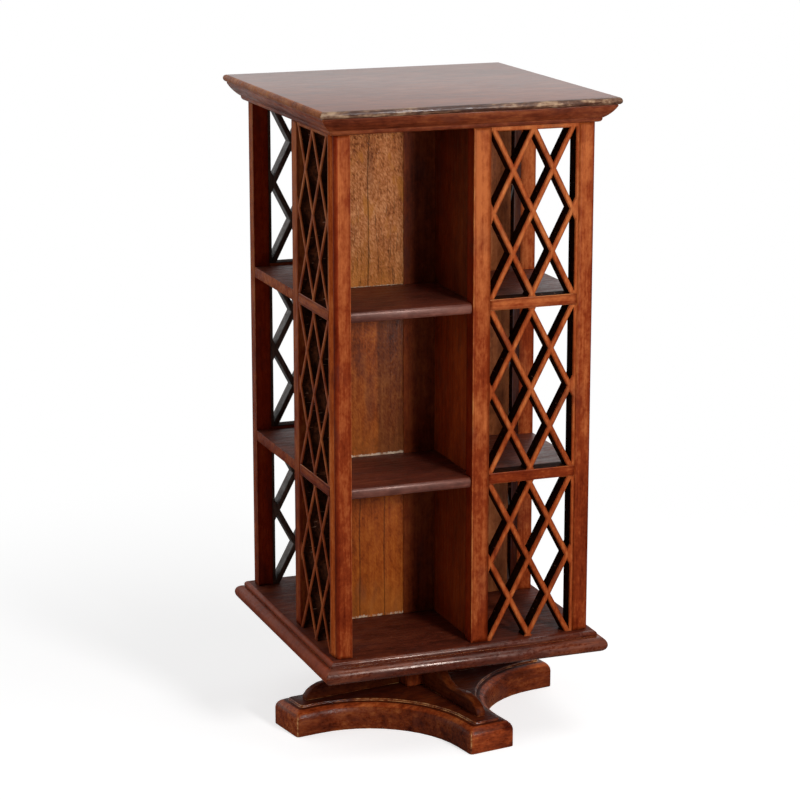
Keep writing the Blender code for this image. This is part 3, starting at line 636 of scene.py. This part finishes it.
def eased(mesh, name, width, limit="ANGLE", material=SAME_SLOT):
    """The mesh with its sharp or weighted edges rounded, shaded smooth."""
    helper = bpy.data.objects.new(name, mesh)
    bpy.context.scene.collection.objects.link(helper)
    mesh.shade_smooth()
    bevel = helper.modifiers.new("eased_edges", "BEVEL")
    bevel.width = width
    bevel.segments = ROUND_SEGMENTS
    bevel.limit_method = limit
    bevel.angle_limit = SHARP_ANGLE
    bevel.material = material
    bevel.use_clamp_overlap = True
    bevel.harden_normals = True
    result = evaluated(helper, name)
    bpy.data.objects.remove(helper)
    return result


def set_grain(mesh, along, number):
    """Grain coordinates in metres: Z runs along the wood, and each piece has its own place in the tree."""
    turn = Vector(along).rotation_difference(Vector((0, 0, 1))).to_matrix()
    place = Vector([step * number for step in GRAIN_STEP])
    grain = mesh.attributes.new("grain", "FLOAT_VECTOR", "POINT")
    for vertex in mesh.vertices:
        grain.data[vertex.index].vector = turn @ vertex.co + place


def add_finish(mesh, material):
    """Adds a finish to a mesh, and gives the number of its slot."""
    mesh.materials.append(material)
    return len(mesh.materials) - 1


def body_of(node):
    return next(body for body, nodes in frame["record"]["behaviour"]["bodies"].items() if node in nodes)


def place_piece(node, mesh):
    """Puts a dressed mesh where its node is, and lets it ride on the node's body."""
    piece = bpy.data.objects.new(f"{node}_dressed", mesh)
    bpy.context.scene.collection.objects.link(piece)
    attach(piece, body_of(node))
    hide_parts(node)
    return piece


def dress(node, material, along, width, arris=None):
    """A node's mesh with eased edges, which may have a finish of their own."""
    number = next(piece_numbers)
    mesh = to_mesh(clean_copy(node), node)
    mesh.materials.append(material)
    if arris:
        mesh.materials.append(arris)
    slot = ARRIS_SLOT if arris else SAME_SLOT
    mesh = eased(mesh, f"{node}_dressed", width, material=slot)
    set_grain(mesh, along, number)
    return place_piece(node, mesh)


def side_direction(side, along):
    """A direction on the front side, turned to another side."""
    return Matrix.Rotation(SIDES.index(side) * math.pi / 2, 3, "Z") @ Vector(along)


def dress_partition(node, side, back_wood, side_wood):
    """A partition: the back wall of one compartment, and the side wall of the next."""
    mesh = dress(node, back_wood, (0, 0, 1), BOARD_EDGE).data
    side_slot = add_finish(mesh, side_wood)
    inward = side_direction(side, (0, 1, 0))
    back_face = side_direction(side, (1, 0, 0))
    outer_end = min(inward.dot(vertex.co) for vertex in mesh.vertices)
    foot = min(vertex.co.z for vertex in mesh.vertices)
    panel = mesh.attributes.new("panel", "FLOAT_VECTOR", "POINT")
    for vertex in mesh.vertices:
        panel.data[vertex.index].vector = (inward.dot(vertex.co) - outer_end, vertex.co.z - foot, 0)
    for face in mesh.polygons:
        face.material_index = 0 if face.normal.dot(back_face) > MOSTLY_FACING else side_slot


def box_mesh(node):
    low, high = (Vector(corner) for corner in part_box(node))
    bm = bmesh.new()
    bmesh.ops.create_cube(bm, size=1.0)
    bmesh.ops.scale(bm, vec=high - low, verts=bm.verts)
    bmesh.ops.translate(bm, vec=(low + high) / 2, verts=bm.verts)
    bm.normal_update()
    return bm


def edge_radius(edge, rounds):
    """The radius listed for the two directions that an edge's faces look in."""
    normals = [face.normal for face in edge.link_faces]
    for first, second, radius in rounds:
        for one, other in (normals, reversed(normals)):
            if one.dot(Vector(first)) > FACING and other.dot(Vector(second)) > FACING:
                return radius
    return 0.0


def add_rims(bm, along, flush):
    """Marks a strip along the edges of a member's long faces, but not where a neighbour is flush."""
    rim = bm.verts.layers.float.new("rim")
    for vert in bm.verts:
        on_flush = [any(face.normal.dot(side) > FACING for face in vert.link_faces) for side in flush]
        vert[rim] = 0.0 if on_flush and all(on_flush) else 1.0
    long_faces = [face for face in bm.faces if abs(face.normal.dot(Vector(along))) < MOSTLY_FACING]
    bmesh.ops.inset_individual(bm, faces=long_faces, thickness=FRAME_RIM)
    for face in long_faces:
        for vert in face.verts:
            vert[rim] = 0.0
    bm.normal_update()


def dress_member(node, along, rounds, finishes, flush=()):
    """A straight member made anew, with arrises worn and given a painted highlight only where its edges
    are free.
    """
    number = next(piece_numbers)
    bm = box_mesh(node)
    add_rims(bm, along, flush)
    weights = bm.edges.layers.float.new("bevel_weight_edge")
    widest = max(radius for _, _, radius in rounds)
    for edge in bm.edges:
        edge[weights] = edge_radius(edge, rounds) / widest
    lies_flat = abs(Vector(along).z) < FACING
    for face in bm.faces:
        faces_up_or_down = lies_flat and abs(face.normal.z) > FACING
        face.material_index = MEMBER_FINISHES.index("charred" if faces_up_or_down else "frame")
    mesh = to_mesh(bm, node)
    for finish in MEMBER_FINISHES:
        mesh.materials.append(finishes[finish])
    mesh = eased(mesh, f"{node}_dressed", widest, "WEIGHT", MEMBER_FINISHES.index("arris"))
    set_grain(mesh, along, number)
    return place_piece(node, mesh)


def dress_post(index, finishes):
    """A corner post: free at its outer arris and beside the mouth, flush beside the lattice."""
    side = SIDES[index]
    before = SIDES[index - 1]
    outward = side_direction(side, (0, -1, 0))
    mouth = side_direction(side, (1, 0, 0))
    other_outward = side_direction(before, (0, -1, 0))
    inner = side_direction(before, (-1, 0, 0))
    arris = CRISP_ARRIS if CORNERS[index] == "front_right" else POST_ARRIS
    rounds = ((outward, other_outward, arris), (outward, mouth, MOUTH_ARRIS), (mouth, inner, INNER_ARRIS))
    flush = (other_outward, inner)
    mesh = dress_member(f"post_{CORNERS[index]}", (0, 0, 1), rounds, finishes, flush).data
    arris_slot = add_finish(mesh, finishes["shaded_arris"])
    mouth_slot = add_finish(mesh, finishes["frame_painted_shade"])
    side_slot = add_finish(mesh, finishes["frame_painted_light_side"])
    for face in mesh.polygons:
        if min(face.normal.dot(outward), face.normal.dot(other_outward)) > ON_ROUNDING:
            # Painted shade on the post's rounded outer arris
            face.material_index = arris_slot
        elif face.normal.dot(mouth) > FACING:
            # Painted shade on the face beside the mouth
            face.material_index = mouth_slot
        elif CORNERS[index] == "front_left" and face.normal.dot(other_outward) > FACING:
            # Painted light on the front left post's left face
            face.material_index = side_slot


def dress_stile(side, finishes):
    """A middle stile: free beside the mouth, where it has a finish of its own, painted shade on all but
    the right-hand stile.
    """
    outward = side_direction(side, (0, -1, 0))
    mouth = side_direction(side, (-1, 0, 0))
    rounds = ((outward, mouth, STILE_ARRIS), (-outward, mouth, INNER_ARRIS))
    mesh = dress_member(f"stile_{side}", (0, 0, 1), rounds, finishes).data
    mouth_slot = add_finish(mesh, finishes["frame" if side == "right" else "frame_painted_shade"])
    for face in mesh.polygons:
        if face.normal.dot(mouth) > FACING:
            face.material_index = mouth_slot


def dress_rail(side, level, finishes):
    outward = side_direction(side, (0, -1, 0))
    rounds = ((outward, (0, 0, 1), RAIL_UPPER_ARRIS), (outward, (0, 0, -1), RAIL_LOWER_ARRIS))
    dress_member(f"rail_{side}_{level}", side_direction(side, (1, 0, 0)), rounds, finishes)


def dress_shelf(level, finishes):
    """A shelf: glossiest on its front and back noses, and like the frame on its sides."""
    mesh = dress(f"shelf_{level}", finishes["shelf"], (1, 0, 0), BOARD_EDGE).data
    nose_slot = add_finish(mesh, finishes["nose"])
    side_slot = add_finish(mesh, finishes["frame"])
    for face in mesh.polygons:
        if abs(face.normal.z) < NEARLY_LEVEL:
            face.material_index = side_slot if abs(face.normal.x) > SIDE_FACE else nose_slot


def dress_bottom(finishes):
    """The bottom board: a moulding that is glossy in front and behind, with painted light on its sides,
    round a dull floor.
    """
    mesh = dress("bottom_board", finishes["moulding"], (1, 0, 0), BOARD_EDGE).data
    floor_slot = add_finish(mesh, finishes["floor"])
    side_slot = add_finish(mesh, finishes["moulding_painted_light_side"])
    floor = max(vertex.co.z for vertex in mesh.vertices)
    for face in mesh.polygons:
        if face.normal.z > NEARLY_LEVEL and face.center.z > floor - FLOOR_SLACK:
            face.material_index = floor_slot
        # Painted light on the left and right sides
        elif abs(face.center.x) > abs(face.center.y):
            face.material_index = side_slot


def dress_top(finishes):
    """The top: polished and even above, with a streaked painted highlight and wear along its edge."""
    mesh = dress("top_board", finishes["top_edge"], (1, 0, 0), TOP_EDGE).data
    top_slot = add_finish(mesh, finishes["top"])
    side_slot = add_finish(mesh, finishes["top_side"])
    for face in mesh.polygons:
        if face.normal.z > LEVEL_FACE:
            face.material_index = top_slot
        elif abs(face.center.x) > abs(face.center.y):
            face.material_index = side_slot


# Lattice panels

def on_border(face, low, high):
    """Whether a face lies on a side of a box."""
    for axis in range(3):
        for bound in (low[axis], high[axis]):
            if all(abs(vert.co[axis] - bound) < BORDER_SLACK for vert in face.verts):
                return True
    return False


def panel_outline(node, along, outward):
    """The outline of a cut panel's outer face, in metres along its side and up."""
    box_low, box_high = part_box(node)
    bm = clean_copy(node)
    bm.normal_update()
    bm.verts.index_update()
    corners = {vert.index: Vector((along.dot(vert.co), vert.co.z)) for vert in bm.verts}
    after = {}
    cut = {}
    for edge in bm.edges:
        fronts = [loop for loop in edge.link_loops if loop.face.normal.dot(outward) > FACING]
        walls = [face for face in edge.link_faces if face.normal.dot(outward) < FACING]
        if len(fronts) == 1 and len(walls) == 1:
            start = fronts[0].vert.index
            after[start] = fronts[0].link_loop_next.vert.index
            cut[start] = not on_border(walls[0], box_low, box_high)
    bm.free()
    before = {end: start for start, end in after.items()}
    spans = [[corners[index][axis] for index in after] for axis in range(2)]
    low, high = ([limit(span) for span in spans] for limit in (min, max))
    return Outline(corners, before, after, cut, low, high)


def inset_corner(before, corner, following, first, second):
    """Where a corner goes when the edges before and after it move into the face."""
    into_first = (corner - before).normalized().orthogonal()
    into_second = (following - corner).normalized().orthogonal()
    if abs(into_first.cross(into_second)) < STRAIGHT_BEND:
        return corner + into_first * max(first, second)
    return corner + Matrix((into_first, into_second)).inverted() @ Vector((first, second))


def held_inside(corner, moved, low, high):
    """A corner's move, cut short where it would come too near the panel's border."""
    for axis in range(2):
        room = BORDER_SHARE * abs((high if moved[axis] > 0 else low)[axis] - corner[axis])
        if abs(moved[axis]) > room:
            moved = moved * (room / abs(moved[axis]))
    return moved


def ring_points(outline, step):
    """The outline's corners after its cut edges have moved one step into the face."""
    corners, before, after, cut, low, high = outline
    points = {}
    for index, following in after.items():
        previous = before[index]
        corner = corners[index]
        steps = [step if cut[edge] else 0.0 for edge in (previous, index)]
        moved = inset_corner(corners[previous], corner, corners[following], *steps) - corner
        if cut[index] != cut[previous]:
            neighbour = previous if cut[index] else following
            reach = BORDER_SHARE * (corners[neighbour] - corner).length
            moved *= min(1.0, reach / max(moved.length, reach))
        elif cut[index]:
            moved *= min(1.0, MITRE_LIMIT * step / max(moved.length, WELD_DISTANCE))
            moved = held_inside(corner, moved, low, high)
        points[index] = corner + moved
    return points


def inside(point, outline):
    """Whether a point lies in a face, by counting the outline's edges to its right."""
    odd = False
    for start, end in outline:
        if (start.y > point.y) != (end.y > point.y):
            across = start.x + (end.x - start.x) * (point.y - start.y) / (end.y - start.y)
            odd = odd != (point.x < across)
    return odd


def filled_outline(points, after):
    """Triangles that fill an outline with holes, as the names of their corners."""
    names = list(points)
    place_of = {name: place for place, name in enumerate(names)}
    edges = [(place_of[name], place_of[after[name]]) for name in names]
    flat = [points[name] for name in names]
    found, _, triangles, origins, _, _ = delaunay_2d_cdt(flat, edges, [], 0, FILL_SLACK)
    outline = [(flat[start], flat[end]) for start, end in edges]
    filled = []
    for triangle in triangles:
        middle = sum((found[corner] for corner in triangle), Vector((0, 0))) / 3
        if inside(middle, outline) and all(origins[corner] for corner in triangle):
            filled.append([names[origins[corner][0]] for corner in triangle])
    return filled


def ring_verts(bm, outline, along, outward, ring, face_depth, inward):
    """One ring of the bars' rounding, with its vertices marked as rim where they lie below the face."""
    step, sink = ring
    rim = bm.verts.layers.float["rim"]
    verts = {}
    for index, (x, z) in ring_points(outline, step).items():
        by_cut = outline.cut[index] or outline.cut[outline.before[index]]
        depth = face_depth + inward * sink * (1.0 if by_cut else BORDER_SINK)
        verts[index] = bm.verts.new(along * x + outward * depth + Vector((0, 0, z)))
        verts[index][rim] = 1.0 if sink else 0.0
    return verts


def join_rings(bm, after, first, second, slot):
    for index, following in after.items():
        quad = (first[index], first[following], second[following], second[index])
        bm.faces.new(quad).material_index = slot


def dress_lattice(node, side, *woods):
    """A cut panel made anew from its outline, with woods for its crowned bars, its cuts and its inside."""
    number = next(piece_numbers)
    face_slot, cut_slot, inner_slot = range(len(woods))
    outward = side_direction(side, (0, -1, 0))
    along = side_direction(side, (1, 0, 0))
    outline = panel_outline(node, along, outward)
    depths = [outward.dot(Vector(corner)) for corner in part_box(node)]
    bm = bmesh.new()
    bm.verts.layers.float.new("rim")
    faces = filled_outline(ring_points(outline, LATTICE_RINGS[0][0]), outline.after)
    edges = []
    sheets = ((max(depths), -1.0, face_slot, face_slot), (min(depths), 1.0, inner_slot, cut_slot))
    for depth, inward, slot, rounding in sheets:
        rings = [ring_verts(bm, outline, along, outward, ring, depth, inward) for ring in LATTICE_RINGS]
        crown, shoulder, edge = rings
        for face in faces:
            bm.faces.new([crown[index] for index in face]).material_index = slot
        join_rings(bm, outline.after, crown, shoulder, slot)
        join_rings(bm, outline.after, shoulder, edge, rounding)
        edges.append(edge)
    join_rings(bm, outline.after, *edges, cut_slot)
    bmesh.ops.recalc_face_normals(bm, faces=bm.faces)
    mesh = to_mesh(bm, f"{node}_dressed")
    mesh.shade_smooth()
    mesh.set_sharp_from_angle(angle=LATTICE_SHARP)
    set_grain(mesh, (0, 0, 1), number)
    for finish in woods:
        mesh.materials.append(finish)
    place_piece(node, mesh)


# Base, case and bearings

def dress_plate(finishes):
    """The base plate: painted shade above and in its hollow sides, brighter on the ends of its feet."""
    arris = finishes["base_arris"]
    mesh = dress("base_plate", finishes["base"], PLATE_GRAIN, PLATE_EDGE, arris).data
    top_slot = add_finish(mesh, finishes["base_painted_shade_top"])
    shaded_hollow_slot = add_finish(mesh, finishes["base_painted_shade_hollow"])
    for face in mesh.polygons:
        radial = Vector((face.center.x, face.center.y, 0))
        on_foot_end = radial.length > FOOT_END and face.normal.dot(radial.normalized()) > FACING
        upright = abs(face.normal.z) < MOSTLY_FACING
        # Painted shade on the plate's top and on its hollow sides
        if face.normal.z > LEVEL_FACE:
            face.material_index = top_slot
        elif face.material_index != ARRIS_SLOT and upright and not on_foot_end:
            face.material_index = shaded_hollow_slot


def dress_base(finishes):
    for side in SIDES:
        low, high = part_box(f"bracket_{side}")
        outward = Vector(((low.x + high.x) / 2, (low.y + high.y) / 2, 0)).normalized()
        # The brackets get painted shade
        dress(f"bracket_{side}", finishes["bracket"], outward, BRACKET_EDGE, finishes["base_arris"])
    dress_plate(finishes)
    dress("hub_block", finishes["base"], (0, 0, 1), PLAIN_EDGE)


def dress_case(finishes):
    dress_bottom(finishes)
    for level in LEVELS:
        dress_shelf(level, finishes)
    dress("spindle_column", finishes["column"], (0, 0, 1), PLAIN_EDGE)
    for side in SIDES:
        for tier in TIERS:
            # Painted shade on the side walls, except the right-hand partitions', which keep a plain grey
            # tan
            wall = finishes["grey_wall" if side == "right" else f"side_{tier}"]
            dress_partition(f"partition_{side}_{tier}", side, finishes[f"back_{tier}"], wall)
    for index in range(len(CORNERS)):
        dress_post(index, finishes)
    for side in SIDES:
        dress_stile(side, finishes)
        for level in LEVELS:
            dress_rail(side, level, finishes)
        for tier in TIERS:
            # Painted shade on the lattices' insides, and on the back lattice's cuts
            cut = "lattice_inner_painted_shade" if side == "back" else "charred"
            woods = (finishes[name] for name in ("lattice", cut, "lattice_inner_painted_shade"))
            dress_lattice(f"lattice_{side}_{tier}", side, *woods)
    dress("carcase_top", finishes["column"], (1, 0, 0), PLAIN_EDGE)
    for side in SIDES:
        # Painted light on the left and right cornices
        finish = finishes["cornice" if side in ("front", "back") else "cornice_painted_light_side"]
        dress(f"cornice_{side}", finish, side_direction(side, (1, 0, 0)), CORNICE_EDGE)
    dress_top(finishes)


def dress_bearings():
    """The turned parts, which keep their CAD meshes."""
    steel = metal("turned_steel", STEEL)
    brass = metal("turned_brass", BRASS)
    turned = {"spindle": steel, "thrust_washer": steel, "lower_bush": brass, "upper_bush": brass}
    for node, finish in turned.items():
        materials = frame["nodes"][node].data.materials
        materials.clear()
        materials.append(finish)


# Studio

def direction(azimuth, elevation):
    """A unit vector from the case, with the azimuth counted to the right of its front."""
    turn = math.radians(azimuth)
    rise = math.radians(elevation)
    return Vector((math.sin(turn) * math.cos(rise), -math.cos(turn) * math.cos(rise), math.sin(rise)))


def aim(obj, place, target):
    """Puts a lamp or camera in its place, turned towards a target."""
    obj.location = place
    obj.rotation_euler = (Vector(target) - Vector(place)).to_track_quat("-Z", "Y").to_euler()
    bpy.context.scene.collection.objects.link(obj)


def add_lamp(name, place, size, power):
    lamp = bpy.data.lights.new(name, "AREA")
    lamp.shape = "DISK"
    lamp.size = size
    lamp.energy = power
    aim(bpy.data.objects.new(name, lamp), place, LIGHT_TARGET)


def floor_material():
    """A floor that fades to white for the camera, is dimmer in a gloss and takes soft shadows."""
    material, tree, shader = new_material("pale_floor")
    path = add(tree, "ShaderNodeLightPath").outputs
    place = object_place(tree)
    shaded = add(tree, "ShaderNodeBsdfDiffuse", {"Color": FLOOR_SHOWN}).outputs[0]
    near = add(tree, "ShaderNodeAddShader", {0: shaded, 1: emission(tree, FLOOR_GLOW)}).outputs[0]
    distance = add(tree, "ShaderNodeVectorMath", {0: place}, operation="LENGTH").outputs["Value"]
    seen = mix_shader(tree, remap(tree, distance, *FLOOR_FADE), near, emission(tree, 1.0))
    behind = separate(tree, place)["Y"]
    mirrored = remap(tree, behind, *FLOOR_DEPTHS, FRONT_REFLECTION, FLOOR_REFLECTION)
    diffuse = add(tree, "ShaderNodeBsdfDiffuse", {"Color": FLOOR_COLOUR}).outputs[0]
    lit = mix_shader(tree, path["Is Glossy Ray"], diffuse, emission(tree, mirrored))
    shown = mix_shader(tree, path["Is Camera Ray"], lit, seen)
    tree.links.new(shown, tree.nodes["Material Output"].inputs["Surface"])
    tree.nodes.remove(shader)
    return material


def make_floor():
    bm = bmesh.new()
    bmesh.ops.create_grid(bm, x_segments=1, y_segments=1, size=FLOOR_SIZE / 2)
    floor = bpy.data.objects.new("studio_floor", to_mesh(bm, "studio_floor"))
    floor.data.materials.append(floor_material())
    bpy.context.scene.collection.objects.link(floor)


def make_world():
    """White to the camera and in reflections from behind, with dimmer light from behind and the left."""
    world = bpy.data.worlds.new("studio")
    bpy.context.scene.world = world
    world.use_nodes = True
    tree = world.node_tree
    background = tree.nodes["Background"]
    path = add(tree, "ShaderNodeLightPath").outputs
    parts = separate(tree, add(tree, "ShaderNodeTexCoord").outputs["Generated"])
    behind = parts["Y"]
    gloss = remap(tree, behind, *REFLECTION_TURN, FRONT_REFLECTION, BACK_REFLECTION)
    ambient = remap(tree, behind, *AMBIENT_TURN, FRONT_AMBIENT, BACK_AMBIENT)
    leftward = remap(tree, parts["X"], *LEFT_TURN, 0.0, LEFT_AMBIENT)
    ambient = math_node(tree, "MULTIPLY_ADD", leftward, remap(tree, behind, *LEFT_START), ambient)
    strength = mix_value(tree, path["Is Glossy Ray"], ambient, gloss)
    seen = math_node(tree, "MAXIMUM", path["Is Camera Ray"], path["Is Transmission Ray"])
    strength = mix_value(tree, seen, strength, 1.0)
    background.inputs["Color"].default_value = WHITE
    tree.links.new(strength, background.inputs["Strength"])


def make_camera():
    camera = bpy.data.cameras.new("photo_camera")
    camera.lens = CAMERA_LENS
    camera.sensor_width = CAMERA_SENSOR
    obj = bpy.data.objects.new("photo_camera", camera)
    aim(obj, CAMERA_PLACE, CAMERA_TARGET)
    bpy.context.scene.camera = obj


def make_studio():
    bpy.context.scene.view_settings.view_transform = "Standard"
    key_place = Vector(LIGHT_TARGET) + KEY_DISTANCE * direction(KEY_AZIMUTH, KEY_ELEVATION)
    add_lamp("key_light", key_place, KEY_SIZE, KEY_POWER)
    add_lamp("top_light", TOP_LIGHT_PLACE, TOP_LIGHT_SIZE, TOP_LIGHT_POWER)
    make_floor()
    make_world()
    make_camera()


finishes = {**frame_finishes(), **board_finishes(), **base_finishes(), **panel_finishes()}
dress_base(finishes)
dress_case(finishes)
dress_bearings()
make_studio()
